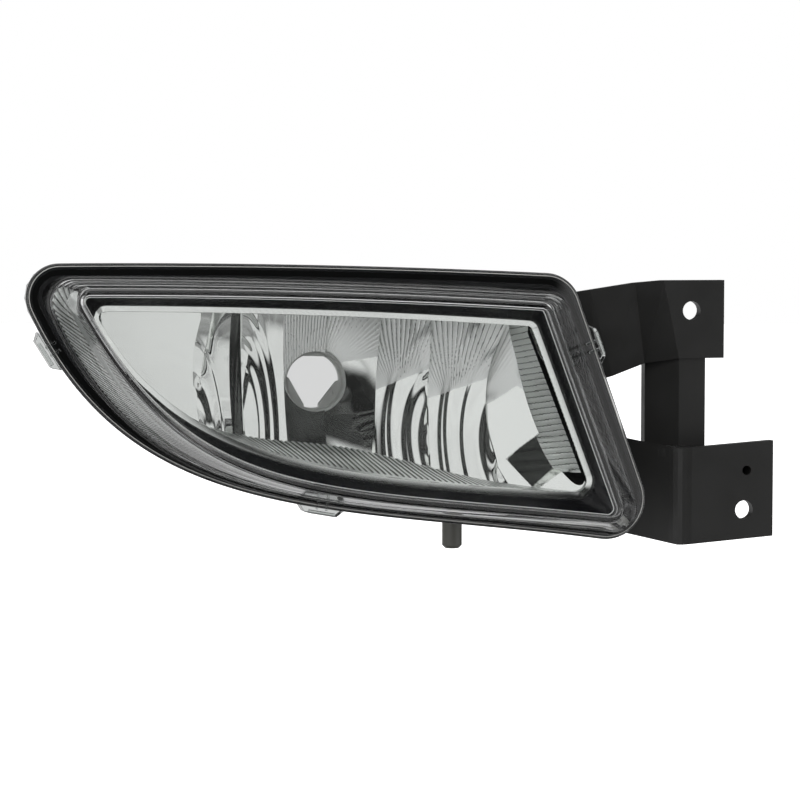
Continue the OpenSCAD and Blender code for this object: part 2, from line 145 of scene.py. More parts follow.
# ---------------------------------------------------------------- mesh helpers
def piece(name, verts, faces, material, body, slot, sharp=30, flip=False):
    """A mesh piece from millimetre points, smooth up to the sharp angle, riding on a CAD body."""
    mesh = bpy.data.meshes.new(name)
    faces = [tuple(reversed(f)) if flip else tuple(f) for f in faces]
    mesh.from_pydata([tuple(v) for v in np.asarray(verts, float) * MM], [], faces)
    mesh.validate()
    mesh.polygons.foreach_set("use_smooth", [True] * len(mesh.polygons))
    mesh.set_sharp_from_angle(angle=math.radians(sharp))
    obj = bpy.data.objects.new(name, mesh)
    bpy.context.scene.collection.objects.link(obj)
    mesh.materials.append(material)
    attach(obj, body)
    return obj


def loft(chain, closed=False):
    """Vertices and quads through a chain of equal rings; open chains are capped at both ends."""
    n, m = len(chain[0]), len(chain)
    faces = []
    for k in range(m if closed else m - 1):
        for j in range(n):
            a, b = k * n + j, k * n + (j + 1) % n
            d, c = ((k + 1) % m) * n + j, ((k + 1) % m) * n + (j + 1) % n
            faces.append((a, b, c, d))
    if not closed:
        faces.append(tuple(range(n - 1, -1, -1)))
        faces.append(tuple(range((m - 1) * n, m * n)))
    return np.concatenate(chain), faces


def grid(points):
    """Vertices and quads of a (rows, columns, 3) array of points."""
    r, c = points.shape[:2]
    faces = [(i * c + j, i * c + j + 1, (i + 1) * c + j + 1, (i + 1) * c + j)
             for i in range(r - 1) for j in range(c - 1)]
    return points.reshape(-1, 3), faces


def bead(level, middle, y, radius):
    """Round six-sided bead along a level's outline."""
    turns = [math.radians(a) for a in range(0, 360, 60)]
    return loft([ring(level, middle + radius * math.cos(a), y + radius * math.sin(a)) for a in turns],
                closed=True)


def join(parts):
    """Several (vertices, faces) meshes as one."""
    verts, faces, base = [], [], 0
    for v, f in parts:
        verts.append(v)
        faces += [tuple(i + base for i in q) for q in f]
        base += len(v)
    return np.concatenate(verts), faces


def split_grid(points, chosen):
    """The grid's faces in two lists: all corners chosen, and the rest."""
    verts, faces = grid(points)
    flags = chosen.ravel()
    inside = [f for f in faces if all(flags[i] for i in f)]
    outside = [f for f in faces if not all(flags[i] for i in f)]
    return verts, inside, outside


def used(verts, faces):
    """The mesh without the points no face uses."""
    kept = sorted({i for f in faces for i in f})
    place = {old: new for new, old in enumerate(kept)}
    return verts[kept], [tuple(place[i] for i in f) for f in faces]


def ribbed(name, points, valley, material, body, slot):
    """A ribbed surface in two pieces: its ribs, and the grooves between them, which get a dark colour as
    painted shade.
    """
    verts, grooves, ribs = split_grid(points, valley)
    return [piece(name, *used(verts, ribs), material, body, slot, sharp=60),
            piece(name + "_grooves", *used(verts, grooves), GROOVE_SHADE, body, slot, sharp=60)]


def bevel(obj, width, segments=3, angle=30):
    """Rounds an object's edges; width in millimetres."""
    m = obj.modifiers.new("Bevel", "BEVEL")
    m.width = width * MM
    m.segments = segments
    m.limit_method = "ANGLE"
    m.angle_limit = math.radians(angle)
    m.harden_normals = True


# ---------------------------------------------------------------- materials
# Range that holds nearly all values of a noise texture
NOISE_LOW, NOISE_HIGH = 0.3, 0.7
MIRROR_COLOUR = (0.87, 0.885, 0.865)
SHADOW_TINT = (0.92, 0.93, 0.93)


def principled(name, colour, roughness, metallic=0.0, ior=1.5):
    """A new material, its node tree and its main shader node."""
    mat = bpy.data.materials.new(name)
    mat.use_nodes = True
    node = mat.node_tree.nodes["Principled BSDF"]
    node.inputs["Base Color"].default_value = (*colour, 1)
    node.inputs["Roughness"].default_value = roughness
    node.inputs["Metallic"].default_value = metallic
    node.inputs["IOR"].default_value = ior
    return mat, mat.node_tree, node


def object_coords(tree):
    return tree.nodes.new("ShaderNodeTexCoord").outputs["Object"]


def noise(tree, scale, detail=4, roughness=0.55):
    n = tree.nodes.new("ShaderNodeTexNoise")
    n.inputs["Scale"].default_value = scale
    n.inputs["Detail"].default_value = detail
    n.inputs["Roughness"].default_value = roughness
    tree.links.new(object_coords(tree), n.inputs["Vector"])
    return n.outputs["Fac"]


def spread(tree, value, low, high):
    """Maps a noise to low..high."""
    m = tree.nodes.new("ShaderNodeMapRange")
    m.inputs["From Min"].default_value = NOISE_LOW
    m.inputs["From Max"].default_value = NOISE_HIGH
    m.inputs["To Min"].default_value = low
    m.inputs["To Max"].default_value = high
    tree.links.new(value, m.inputs["Value"])
    return m.outputs["Result"]


def bump(tree, node, value, height, strength=1.0):
    """Bump of a given height in millimetres."""
    b = tree.nodes.new("ShaderNodeBump")
    b.inputs["Distance"].default_value = height * MM
    b.inputs["Strength"].default_value = strength
    tree.links.new(value, b.inputs["Height"])
    tree.links.new(b.outputs["Normal"], node.inputs["Normal"])


def moulded(name, colour, roughness, grain=900, height=0.02, cloud=60, vary=0.25, ior=1.5):
    """Moulded plastic: fine grain, cloudy gloss and slightly uneven colour."""
    mat, tree, node = principled(name, colour, roughness, ior=ior)
    tint = tree.nodes.new("ShaderNodeMixRGB")
    tint.inputs["Color1"].default_value = (*[c * (1 - vary) for c in colour], 1)
    tint.inputs["Color2"].default_value = (*[min(1, c * (1 + vary)) for c in colour], 1)
    tree.links.new(noise(tree, cloud), tint.inputs["Fac"])
    tree.links.new(tint.outputs["Color"], node.inputs["Base Color"])
    tree.links.new(spread(tree, noise(tree, cloud * 2.3), roughness * 0.85, min(1, roughness * 1.2)),
                   node.inputs["Roughness"])
    bump(tree, node, noise(tree, grain, 3), height, 0.5)
    return mat


def metal(name, colour, roughness, height=0.004, vary=0.3, metallic=1.0):
    """Plated or metallised surface with uneven gloss."""
    mat, tree, node = principled(name, colour, roughness, metallic)
    tree.links.new(spread(tree, noise(tree, 180), roughness * (1 - vary), roughness * (1 + vary)),
                   node.inputs["Roughness"])
    bump(tree, node, noise(tree, 1500, 2), height, 0.4)
    return mat


def mirror(name):
    """Vacuum-metallised plastic: a mirror with a faint moulding waviness."""
    mat, tree, node = principled(name, MIRROR_COLOUR, 0.035, 1.0)
    tree.links.new(spread(tree, noise(tree, 90), 0.02, 0.06), node.inputs["Roughness"])
    bump(tree, node, noise(tree, 45, 2), 0.02, 0.25)
    return mat


def clear(name, colour, roughness):
    """Clear polycarbonate. Lamps shine through it to what lies behind."""
    mat, tree, node = principled(name, colour, roughness, 0.0, 1.58)
    node.inputs["Transmission Weight"].default_value = 1.0
    bump(tree, node, noise(tree, 30, 1), 0.01, 0.08)
    out = tree.nodes["Material Output"]
    ray = tree.nodes.new("ShaderNodeLightPath")
    through = tree.nodes.new("ShaderNodeBsdfTransparent")
    through.inputs["Color"].default_value = (*SHADOW_TINT, 1)
    mix = tree.nodes.new("ShaderNodeMixShader")
    tree.links.new(ray.outputs["Is Shadow Ray"], mix.inputs["Fac"])
    tree.links.new(node.outputs["BSDF"], mix.inputs[1])
    tree.links.new(through.outputs["BSDF"], mix.inputs[2])
    tree.links.new(mix.outputs["Shader"], out.inputs["Surface"])
    return mat


CLEAR = clear("clear_polycarbonate", (0.985, 0.992, 0.99), 0.0)
MIRROR = mirror("metallised_mirror")
FLUTED = metal("metallised_flutes", (0.92, 0.935, 0.92), 0.3, 0.001, vary=0.05, metallic=0.72)
# Dark colour of the grooves between ribs and flutes: painted shade in the hollows.
GROOVE_SHADE = metal("groove_painted_shade", (0.16, 0.165, 0.16), 0.34, 0.001, vary=0.05, metallic=0.8)
TRIM = metal("metallised_trim", (0.84, 0.86, 0.84), 0.32, 0.001, vary=0.05, metallic=0.75)
TAB = clear("tab_polycarbonate", (0.80, 0.82, 0.81), 0.08)
# Light grey of the flange bead: a painted highlight line.
RIM_HIGHLIGHT = moulded("rim_highlight_bead", (0.50, 0.50, 0.48), 0.3, grain=900, height=0.01)
# Light grey of the bezel edge line: a painted highlight of the lens's rounded front edge.
EDGE = moulded("painted_edge_highlight", (0.80, 0.80, 0.79), 0.3, grain=900, height=0.01, vary=0.1)
BEZEL = moulded("bezel_black", (0.004, 0.004, 0.005), 0.2, grain=600, height=0.004, ior=1.38)
HOUSING = moulded("housing_black", (0.014, 0.014, 0.015), 0.32, grain=1100, height=0.02)
BRACKET = moulded("bracket_black", (0.016, 0.016, 0.0155), 0.42, grain=1300, height=0.03, cloud=35)
SEAL = moulded("seal_black", (0.008, 0.008, 0.008), 0.6, grain=700, height=0.015)
RUBBER = moulded("cap_rubber", (0.016, 0.016, 0.016), 0.65, grain=1500, height=0.04)
PORT = moulded("port_metal", (0.55, 0.56, 0.54), 0.32, grain=500, height=0.05, cloud=150, vary=0.4, ior=2.2)
NYLON = moulded("nylon_natural", (0.66, 0.63, 0.52), 0.42, grain=900, height=0.02, vary=0.08)
STEM = moulded("stem_grey", (0.12, 0.12, 0.107), 0.4, grain=1000, height=0.03, vary=0.15)
ZINC = metal("zinc_plate", (0.62, 0.61, 0.57), 0.3)
SPRING = metal("spring_steel", (0.25, 0.25, 0.26), 0.35)
FILTER = moulded("vent_filter", (0.8, 0.8, 0.77), 0.9, grain=2500, height=0.08, vary=0.05)

# Material and edge rounding of each CAD node that stays
NODE_LOOKS = {
    "lens_seal": (SEAL, 0), "port_seal": (SEAL, 0.3), "reflector_screws": (ZINC, 0.25),
    "housing": (HOUSING, 0.5), "vent_spigot": (HOUSING, 0.3),
    "vent_membrane": (FILTER, 0.05), "vent_cap": (RUBBER, 0.5), "pivot_bushes": (NYLON, 0.2),
    "mounting_bracket": (BRACKET, 0.4), "pivot_pins": (ZINC, 0.25), "pin_clips": (SPRING, 0.1),
    "adjuster_stem": (STEM, 0.2), "stem_bushes": (NYLON, 0.2), "stem_clip": (SPRING, 0.1),
    "stem_washer": (SPRING, 0.1), "adjuster_nut": (NYLON, 0.3),
}


def dress_nodes():
    """Materials and rounded edges for the CAD pieces that stay."""
    for name, (material, edge) in NODE_LOOKS.items():
        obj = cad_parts[name]
        obj.data.materials.clear()
        obj.data.materials.append(material)
        if edge:
            bevel(obj, edge)


# ---------------------------------------------------------------- lens
def slab(flat, y0, y1):
    """Flat X and Z outline thickened from y0 to y1."""
    return loft([at_y(flat, y0), at_y(flat, y1)])


def lens_tab(x, z, angle, width, proud):
    """Snap tab folded back outside the housing rim at (x, z), with its two small ribs."""
    a = math.radians(angle)
    half = width / 2
    back = CHANNEL + 4.4

    def place(shape):
        return np.array([(x + u * math.cos(a) - v * math.sin(a), z + u * math.sin(a) + v * math.cos(a))
                         for u, v in shape])

    parts = [slab(place([(-half - 3.5, -0.3), (-half - 1, proud), (half + 1, proud), (half + 3.5, -0.3)]),
                  FLANGE + 0.5, back)]
    parts.append(slab(place([(-half, proud * 0.45), (-half, proud + 0.05), (half, proud + 0.05),
                             (half, proud * 0.45)]), FLANGE - 0.5, FLANGE + 0.48))
    for u in (-half * 0.3, half * 0.42):
        parts.append(slab(place([(u - 0.5, -3.6), (u - 0.5, 0.6), (u + 0.5, 0.6), (u + 0.5, -3.6)]),
                          FLANGE - 0.9, FLANGE - 0.02))
    return join(parts)


# X and Z of each tab's middle, its angle in degrees, its width, and how far it stands proud
LENS_TABS = [(-101.8, 13.2, 121.5, 9, 2.4), (-4, -44.35, 169.5, 10, 2.4), (99.8, 13.7, -69.5, 9, 2.4)]


def make_lens():
    """Lens shell: the front with its rounded edge, the flank, flange and rim, then the inner surface."""
    front, inner = LENS_FRONT, LENS_FRONT + 2.4
    outside = [(FACE, 14, front), (FACE, 4, front + 0.15), (FACE, 1.7, front + 0.4),
               (FACE, 0.7, front + 0.85), (FACE, 0.2, front + 1.5), (FACE, 0.05, front + 2.3)]
    flange = [(STEP, 0, FLANGE - 1.5), (STEP, -0.2, FLANGE - 0.8), (STEP, -0.7, FLANGE - 0.2),
              (STEP, -1.4, FLANGE), (RIM, 1.0, FLANGE), (RIM, 0.45, FLANGE + 0.15),
              (RIM, 0.15, FLANGE + 0.45), (RIM, 0.05, FLANGE + 1.0), (RIM, 0.05, CHANNEL - 0.5),
              (RIM, 0.35, CHANNEL), (STEP, 2.5, CHANNEL)]
    inside = [(FACE, 2.5, inner + 0.9), (FACE, 2.6, inner + 0.5), (FACE, 2.9, inner + 0.2),
              (FACE, 3.5, inner + 0.1), (FACE, 5, inner + 0.08), (FACE, 14, inner)]
    obj = piece("lens_clear", *loft(rings(outside + flange + inside)), CLEAR, "lamp", "clear_lens", sharp=42)
    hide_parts("lens")
    for i, spec in enumerate(LENS_TABS):
        tab = piece(f"lens_tab_{i + 1}", *lens_tab(*spec), TAB, "lamp", "clear_lens")
        bevel(tab, 0.3)
        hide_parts("lens")


def make_rim_highlight_bead():
    """Light grey bead round the front edge of the flange: its colour is a painted highlight line where the
    flange's rounded edge catches the light.
    """
    obj = piece("lens_rim_highlight_bead", *bead(RIM, 1.15, FLANGE + 0.05, 0.17), RIM_HIGHLIGHT, "lamp", "clear_lens",
                sharp=80, flip=True)
    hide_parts("lens")


# ---------------------------------------------------------------- bezel
def make_bezel():
    """Black frame from the lens's rounded edge back to the mirror lip."""
    front = BEZEL_FRONT
    section = [(FACE, 3.45, front), (FACE, 3.3, front + 0.3), (FACE, 3.3, front + 2.4), (MOUTH, -1.6, LIP),
               (MOUTH, -0.4, LIP), (MOUTH, -0.35, LIP - 1.5), (MOUTH, -0.55, LIP - 2),
               (MOUTH, -1.0, LIP - 2.4)]
    obj = piece("bezel_frame", *loft(rings(section), closed=True), BEZEL, "lamp", "bezel_black", sharp=40)
    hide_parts("bezel")


def make_bezel_edge_highlight():
    """Bright line along the bezel's outer front edge: a painted highlight standing in for the light on the
    lens's rounded front edge.
    """
    obj = piece("bezel_edge_highlight", *bead(FACE, 3.3, BEZEL_FRONT - 0.35, 0.22), EDGE, "lamp", "mirror_coat",
                sharp=80, flip=True)
    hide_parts("bezel")


# ---------------------------------------------------------------- fluted side trim
# Two bands behind the lens's left flank: ribs from the rim to a crease, then tick marks to the front edge.
# Lean is how far a rib or tick moves along the flank on its way to the front.
RIB_PITCH, RIB_HEIGHT, RIB_LEAN = 1.9, 0.5, 10.0
TICK_PITCH, TICK_HEIGHT, TICK_LEAN = 1.75, 0.45, 2.0
# Ribs are waves from 0 to 1; what lies below this is the groove between two of them, which gets a dark
# colour as painted shade.
GROOVE_WAVE = 0.5
TRIM_BACK, CREASE_Y, TRIM_FRONT = -39.3, -48.9, -56.9
CREASE_SHARE = 0.6
# Share of the lower curve where the trim starts, and X where its three lines end on the top edge
TRIM_START = 0.42
TRIM_ENDS = (-90.0, -91.0, -93.0)
TRIM_POINTS = 2200


def along(p, n):
    """n evenly spaced points along an open line, and its length."""
    s = np.concatenate([[0], np.cumsum(np.linalg.norm(np.diff(p, axis=0), axis=1))])
    t = np.linspace(0, s[-1], n)
    return np.stack([np.interp(t, s, p[:, k]) for k in range(2)], 1), s[-1]


def flank_line(level, d, end):
    """Left flank of a level from the lower curve round the corner to X = end on the top edge."""
    first = 2 * (CORNER_STEPS + 1) + int(CURVE_STEPS * TRIM_START)
    last = 2 * (CORNER_STEPS + 1) + CURVE_STEPS - 1 + CORNER_STEPS + 4
    p = outline(moved(level, d))[first:last]
    on_top = (p[:, 0] > end) & (p[:, 1] > 25)
    return along(np.concatenate([p[~on_top], [[end, p[on_top][0, 1]]]]), 900)[0]


def make_trim():
    """Ribbed strip; ribs and ticks start below the corner, and ribs straighten towards the lower curve."""
    outer = flank_line(STEP, 2.9, TRIM_ENDS[0])
    crease = flank_line(blend(STEP, FACE, CREASE_SHARE), 2.75, TRIM_ENDS[1])
    inner = flank_line(FACE, 2.65, TRIM_ENDS[2])
    length = along(outer, 2)[1]
    s = np.linspace(0, 1, TRIM_POINTS)
    below_corner = (1 - s) * length
    straightened = 1 - 0.85 * rise(below_corner, 45, 60)
    lean = RIB_LEAN / length * rise(below_corner, 6, 26) * straightened
    ribs = np.abs(np.sin(math.pi * s * length / RIB_PITCH))
    ticks = np.clip(np.sin(2 * math.pi * s * length / TICK_PITCH), 0, 1)
    grow = rise(below_corner, 18, 45)
    no_groove = np.zeros(TRIM_POINTS, bool)
    rows, valleys = [], []

    def row(first_line, second_line, t, y, shift, height, valley):
        """Row of points at share t between two lines, moved along them by shift and inwards by height."""
        line_s = np.linspace(0, 1, len(first_line))
        p = first_line * (1 - t) + second_line * t
        tangent = np.gradient(p, axis=0)
        tangent /= np.linalg.norm(tangent, axis=1, keepdims=True)
        at = np.clip(s - shift, 0, 1)
        x, z, tx, tz = (np.interp(at, line_s, v) for v in (p[:, 0], p[:, 1], tangent[:, 0], tangent[:, 1]))
        rows.append(at_y(np.stack([x + tz * height, z - tx * height], 1), y))
        valleys.append(valley)

    for t in np.linspace(0, 1, 12):
        row(outer, crease, t, TRIM_BACK + (CREASE_Y - TRIM_BACK) * t, lean * t, RIB_HEIGHT * ribs,
            ribs < GROOVE_WAVE)
    # Tick marks: faces where the tick wave is up get the dark painted-shade colour, as the ribs' grooves do
    # above.
    for t in np.linspace(0.03, 1, 20):
        row(crease, inner, t, CREASE_Y + (TRIM_FRONT - CREASE_Y) * t, lean + TICK_LEAN / length * t,
            TICK_HEIGHT * ticks * grow * t ** 0.5 + 0.02, (ticks > 0.15) & (t > 0.42 - 0.30 * grow))
    for y, height in ((TRIM_FRONT, 0.5), (TRIM_FRONT + 1, 0.55)):
        row(crease, inner, 1, y, lean + TICK_LEAN / length, height, no_groove)
    for obj in ribbed("fluted_strip", np.stack(rows), np.stack(valleys), TRIM, "lamp", "mirror_coat"):
        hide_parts("fluted_trim")


# ---------------------------------------------------------------- reflector
# Radius of the hole in the facets, and width of the mirror lip
PORT_EDGE = 11.1
LIP_WIDTH = 2.0


def side(p, lower):
    """Height of the lower or upper side of an outline as a function of X."""
    right, left = p[:, 0].argmax(), p[:, 0].argmin()
    q = p[right:left + 1] if lower else np.concatenate([p[left:], p[:right + 1]])
    q = q[np.argsort(q[:, 0])]
    return lambda x: np.interp(x, q[:, 0], q[:, 1])


lip_inner = outline(moved(MOUTH, LIP_WIDTH))
lip_low, lip_high = side(lip_inner, True), side(lip_inner, False)


def flank(p, right):
    """X of the right or left side of an outline as a function of height."""
    q = p[p[:, 0] > 60] if right else p[p[:, 0] < -20]
    pick = max if right else min
    step, reach = 0.5, 1.5
    heights, sides = [], []
    for level in np.arange(q[:, 1].min(), q[:, 1].max(), step):
        near = q[abs(q[:, 1] - level) < reach, 0]
        if len(near):
            heights.append(level)
            sides.append(pick(near))
    return lambda z: np.interp(z, heights, sides)


lip_left, lip_right = flank(lip_inner, False), flank(lip_inner, True)


# The ledge under the facets: its greatest height, where that is, and how far it spreads
LEDGE_RISE, LEDGE_MIDDLE, LEDGE_SPREAD = 6.6, 10.0, 38.0
BOWL_Y, BOWL_MIDDLE_Z = -12.4, -2.0
BOWL_CURVE_X, BOWL_CURVE_Z = 0.0046, 1 / 85


def floor_z(x):
    """Height of the facets' lower edge: the ledge below them is widest under the bulb port."""
    return lip_low(x) + LEDGE_RISE * np.exp(-((x - LEDGE_MIDDLE) / LEDGE_SPREAD) ** 2)


def ceiling_z(x):
    """Height of the facets' upper edge."""
    return lip_high(x) + 0.6


def bowl_y(x, z):
    """Depth of the reflector's basic shape."""
    return BOWL_Y - BOWL_CURVE_X * x ** 2 - BOWL_CURVE_Z * (z - BOWL_MIDDLE_Z) ** 2


# Facets from left to right. edge: X of the right edge at the bottom, middle and top. depth: offset from
# the bowl at the centre. slope: dY/dX and dY/dZ at the centre. bend: how fast the slopes fall off, per mm.
# twist: how fast dY/dX falls off with height. fan: X and Z that the flutes radiate from, their angular
# pitch, and how far down they reach at the left and right edge. arches: X and Z of their centre, their
# height over width, and for each arched step its radius, half width and slope. diamond: X and Z of the
# centre of a tilted window, its half width and half height, and its extra dY/dX.
FACETS = [
    dict(edge=(-47.6, -49.5, -45.0), depth=-3, slope=(0.50, 0.04), bend=(0.005, 0.008), twist=0.0),
    dict(edge=(-33.6, -33.8, -34.0), depth=-1, slope=(0.44, 0.0), bend=(0.004, 0.022), twist=0.003,
         arches=(-49.5, -22.0, 3.1, [(2.4, 1.0, -0.62), (7.8, 1.3, -0.64), (12.4, 0.35, -0.5)])),
    dict(edge=(-27.6, -28.2, -28.6), depth=2.5, slope=(-0.04, 0.0), bend=(0.02, 0.003), twist=0.0),
    dict(edge=(-11.4, -12.0, -12.6), depth=0, slope=(0.30, 0.02), bend=(0.008, 0.012), twist=0.002,
         arches=(-30.0, -15.0, 2.8, [(8.0, 0.35, -0.4), (11.2, 1.0, -0.5), (14.6, 0.9, -0.5)])),
    dict(edge=(3.3, 3.6, 4.1), depth=0, slope=(0.0, 0.0), bend=(0.012, 0.013), twist=0.0,
         fan=(-4.0, -90.0, 0.0100, 0.45, 0.45)),
    dict(edge=(22.5, 22.6, 22.7), depth=0, slope=(-0.24, -0.05), bend=(0.004, 0.012), twist=0.014,
         fan=(1.0, 0.0, 0.055, 0.60, 0.70)),
    dict(edge=(41.0, 41.0, 41.0), depth=0, slope=(-0.44, 0.0), bend=(0.010, 0.009), twist=0.002,
         fan=(32.0, -12.0, 0.048, 0.46, 0.66),
         arches=(44.5, -22.0, 2.3, [(5.4, 1.3, -0.5), (11.2, 1.3, -0.5), (18.6, 1.0, -0.5)])),
    dict(edge=(67.5, 60.8, 66.5), depth=0, slope=(-0.52, 0.0), bend=(0.008, 0.009), twist=0.002,
         fan=(50.0, -16.0, 0.048, 0.46, 0.64),
         arches=(67.0, -22.0, 2.4, [(6.6, 1.9, -0.6), (14.6, 0.6, -0.5), (21.4, 1.2, -0.6)])),
    dict(edge=(99.0, 79.0, 69.2), depth=5, slope=(-0.50, 0.04), bend=(0.010, 0.004), twist=0.0,
         fan=(58.0, -10.0, 0.055, 0.46, 0.66), diamond=(79.6, -28.8, 11.2, 10.8, 0.5)),
]
FLUTE_DEPTH = 0.2
# Flute wave below which faces are groove faces, coloured dark as painted shade
FLUTE_GROOVE = 0.42
# How far the diamond's middle line moves sideways per millimetre of height
DIAMOND_LEAN = 0.18
# X of the first facet's left edge at the bottom, middle and top
BOWL_LEFT = (-84.0, -90.0, -90.0)


def quadratic(values, v):
    """Curve through three values at v = 0, 0.5 and 1."""
    b, m, t = values
    return b * (1 - v) * (1 - 2 * v) + 4 * m * v * (1 - v) + t * v * (2 * v - 1)


def fan_flutes(fan, x, z, u, v):
    """How strong the flutes are at each point, and their wave."""
    fx, fz, pitch, reach_left, reach_right = fan
    strength = rise(v, reach_left + (reach_right - reach_left) * u, 0.06)
    return strength, np.abs(np.sin(math.pi * np.arctan2(x - fx, z - fz) / pitch))


def arched_steps(arches, x, z):
    """Depth added by the arched steps. It is divided by how much an arch faces sideways, up to a limit, so
    that the whole arch tilts the mirror sideways by about the same amount."""
    cx, cz, tall, steps = arches
    away = np.hypot(x - cx, (z - cz) / tall)
    sideways = np.maximum(abs(x - cx) / away, 0.45)
    return sum(slope * half * np.tanh((away - radius) / half) / sideways for radius, half, slope in steps)


def facet_points(left, right, spec, nu=120, nv=130):
    """(nv, nu, 3) points of one facet, its floor row first, and which of them are fluted and in grooves; the
    grooves get painted shade.
    """
    u, v = np.meshgrid(np.linspace(0, 1, nu), np.linspace(0, 1, nv))
    x = quadratic(left, v) * (1 - u) + quadratic(right, v) * u
    low, high = floor_z(x), ceiling_z(x)
    z = low + (high - low) * v
    x = np.clip(x, lip_left(z), lip_right(z))
    xc, zc = x[nv // 2, nu // 2], z[nv // 2, nu // 2]
    dx, dz = x - xc, z - zc
    y = (bowl_y(xc, zc) + spec["depth"] + spec["slope"][0] * dx + spec["slope"][1] * dz
         - spec["twist"] * dx * dz - spec["bend"][0] * dx ** 2 / 2 - spec["bend"][1] * dz ** 2 / 2)
    fluted = grooves = np.zeros(v.shape, bool)
    if "fan" in spec:
        strength, wave = fan_flutes(spec["fan"], x, z, u, v)
        y = y - FLUTE_DEPTH * strength * wave
        fluted = strength > 0
        grooves = fluted & (wave < FLUTE_GROOVE)
    if "arches" in spec:
        y = y + arched_steps(spec["arches"], x, z)
    if "diamond" in spec:
        cx, cz, across, up, slope = spec["diamond"]
        p, q = (x - cx - DIAMOND_LEAN * (z - cz)) / across, (z - cz) / up
        y = np.where(abs(p) + abs(q) < 1, y + slope * (x - cx + across), y)
    return np.stack([x, np.clip(y, LIP + 0.6, REFLECTOR_BACK), z], 2), fluted, grooves


def soffit(edge_row):
    """Plain strip from a facet's upper edge forward to the lip."""
    t = np.linspace(0, 1, 3)[:, None]
    x = edge_row[None, :, 0] * np.ones_like(t)
    y = LIP_FOLD * (1 - t) + edge_row[None, :, 1] * t
    z = lip_high(edge_row[:, 0])[None, :] * (1 - t) + edge_row[None, :, 2] * t
    return np.stack([x, y, z], 2)


LEDGE_PITCH, LEDGE_RIB, LEDGE_LEAN, LEDGE_GROOVE = 2.3, 0.5, 3.6, 0.7
# The columns of points start up to a spare length past the right end, because the ribs lean to the left.
LEDGE_LEFT, LEDGE_RIGHT, LEDGE_SPARE, LEDGE_STEP = -84.0, 96.0, 8.0, 0.13


def make_ledge(edge):
    """Ribbed shelf from the facets' lower edge forward to the lip. Its ribs fade out where it gets low."""
    edge = edge[np.argsort(edge[:, 0], kind="stable")]
    start = np.arange(LEDGE_LEFT, LEDGE_RIGHT + LEDGE_SPARE, LEDGE_STEP)[None, :]
    t = np.linspace(0, 1, 14)[:, None]
    x = np.clip(start - LEDGE_LEAN * t, LEDGE_LEFT, LEDGE_RIGHT)
    low, high = lip_low(x), floor_z(x)
    depth = LEDGE_RIB * rise(high - low, 0, 2.5) * np.clip(6 * t, 0, 1)
    y = LIP_FOLD * (1 - t) + np.interp(x, edge[:, 0], edge[:, 1]) * t
    wave = np.abs(np.sin(math.pi * start / LEDGE_PITCH))
    z = low + (high - low) * t + depth * wave
    # Faces in the grooves between the ribs get the dark painted-shade colour.
    valley = (wave < LEDGE_GROOVE) & (depth > 0.1)
    for obj in ribbed("mirror_ledge", np.stack([x, y, z], 2), valley, FLUTED, "lamp", "mirror_coat"):
        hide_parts("reflector")


def punch_port(verts, faces):
    """Removes what lies inside the port and draws the cut edge onto a clean circle."""
    r = np.hypot(verts[:, 0], verts[:, 2])
    kept = [f for f in faces if max(r[i] for i in f) > PORT_EDGE]
    for i in {i for f in kept for i in f}:
        if r[i] < PORT_EDGE:
            verts[i, 0] *= PORT_EDGE / max(r[i], 1e-6)
            verts[i, 2] *= PORT_EDGE / max(r[i], 1e-6)
    return verts, kept


def make_facet(number, left, spec, previous_edge):
    """One facet in up to three pieces: flutes, grooves darkened with painted shade, and the mirror with the
    wall on its left.
    """
    points, fluted, grooves = facet_points(left, spec["edge"], spec)
    verts, flute_faces, smooth = split_grid(points, fluted)
    if flute_faces:
        deep = grooves.ravel()
        for name, material, chosen in (("flutes", FLUTED, False), ("grooves", GROOVE_SHADE, True)):
            faces = [f for f in flute_faces if all(deep[k] for k in f) == chosen]
            obj = piece(f"mirror_{name}_{number}", *used(*punch_port(verts.copy(), faces)), material,
                        "lamp", "mirror_coat", sharp=60)
            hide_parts("reflector")
    parts = [punch_port(verts.copy(), smooth), grid(soffit(points[-1]))]
    if previous_edge is not None:
        parts.append(punch_port(*grid(np.stack([previous_edge, points[:, 0]], 1))))
    obj = piece(f"mirror_facet_{number}", *used(*join(parts)), MIRROR, "lamp", "mirror_coat", sharp=24)
    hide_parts("reflector")
    return points


def make_reflector():
    """Facets from left to right, then the ledge below them and the ribs on the right."""
    left, previous_edge, lower_edges = BOWL_LEFT, None, []
    for number, spec in enumerate(FACETS, 1):
        points = make_facet(number, left, spec, previous_edge)
        lower_edges.append(points[0])
        left, previous_edge = spec["edge"], points[:, -1]
    make_ledge(np.concatenate(lower_edges))
    make_side_ribs(previous_edge)


def make_mirror_rim():
    """Bright lip round the mouth, slightly dished, and its fold back into the bowl."""
    section = [(MOUTH, -1.55, LIP + 3), (MOUTH, -1.55, LIP + 0.05), (MOUTH, 0, LIP + 0.05),
               (MOUTH, 0.15, LIP + 0.1), (MOUTH, 1.85, LIP + 0.78), (MOUTH, LIP_WIDTH, LIP + 1.1),
               (MOUTH, 2.05, LIP + 4)]
    verts, faces = loft(rings(section))
    uncapped = faces[:-2]
    obj = piece("mirror_lip", verts, uncapped, MIRROR, "lamp", "mirror_coat", sharp=14)
    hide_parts("reflector")


SIDE_RIB_PITCH, SIDE_RIB_HEIGHT, SIDE_RIB_BOTTOM = 2.1, 0.9, -33


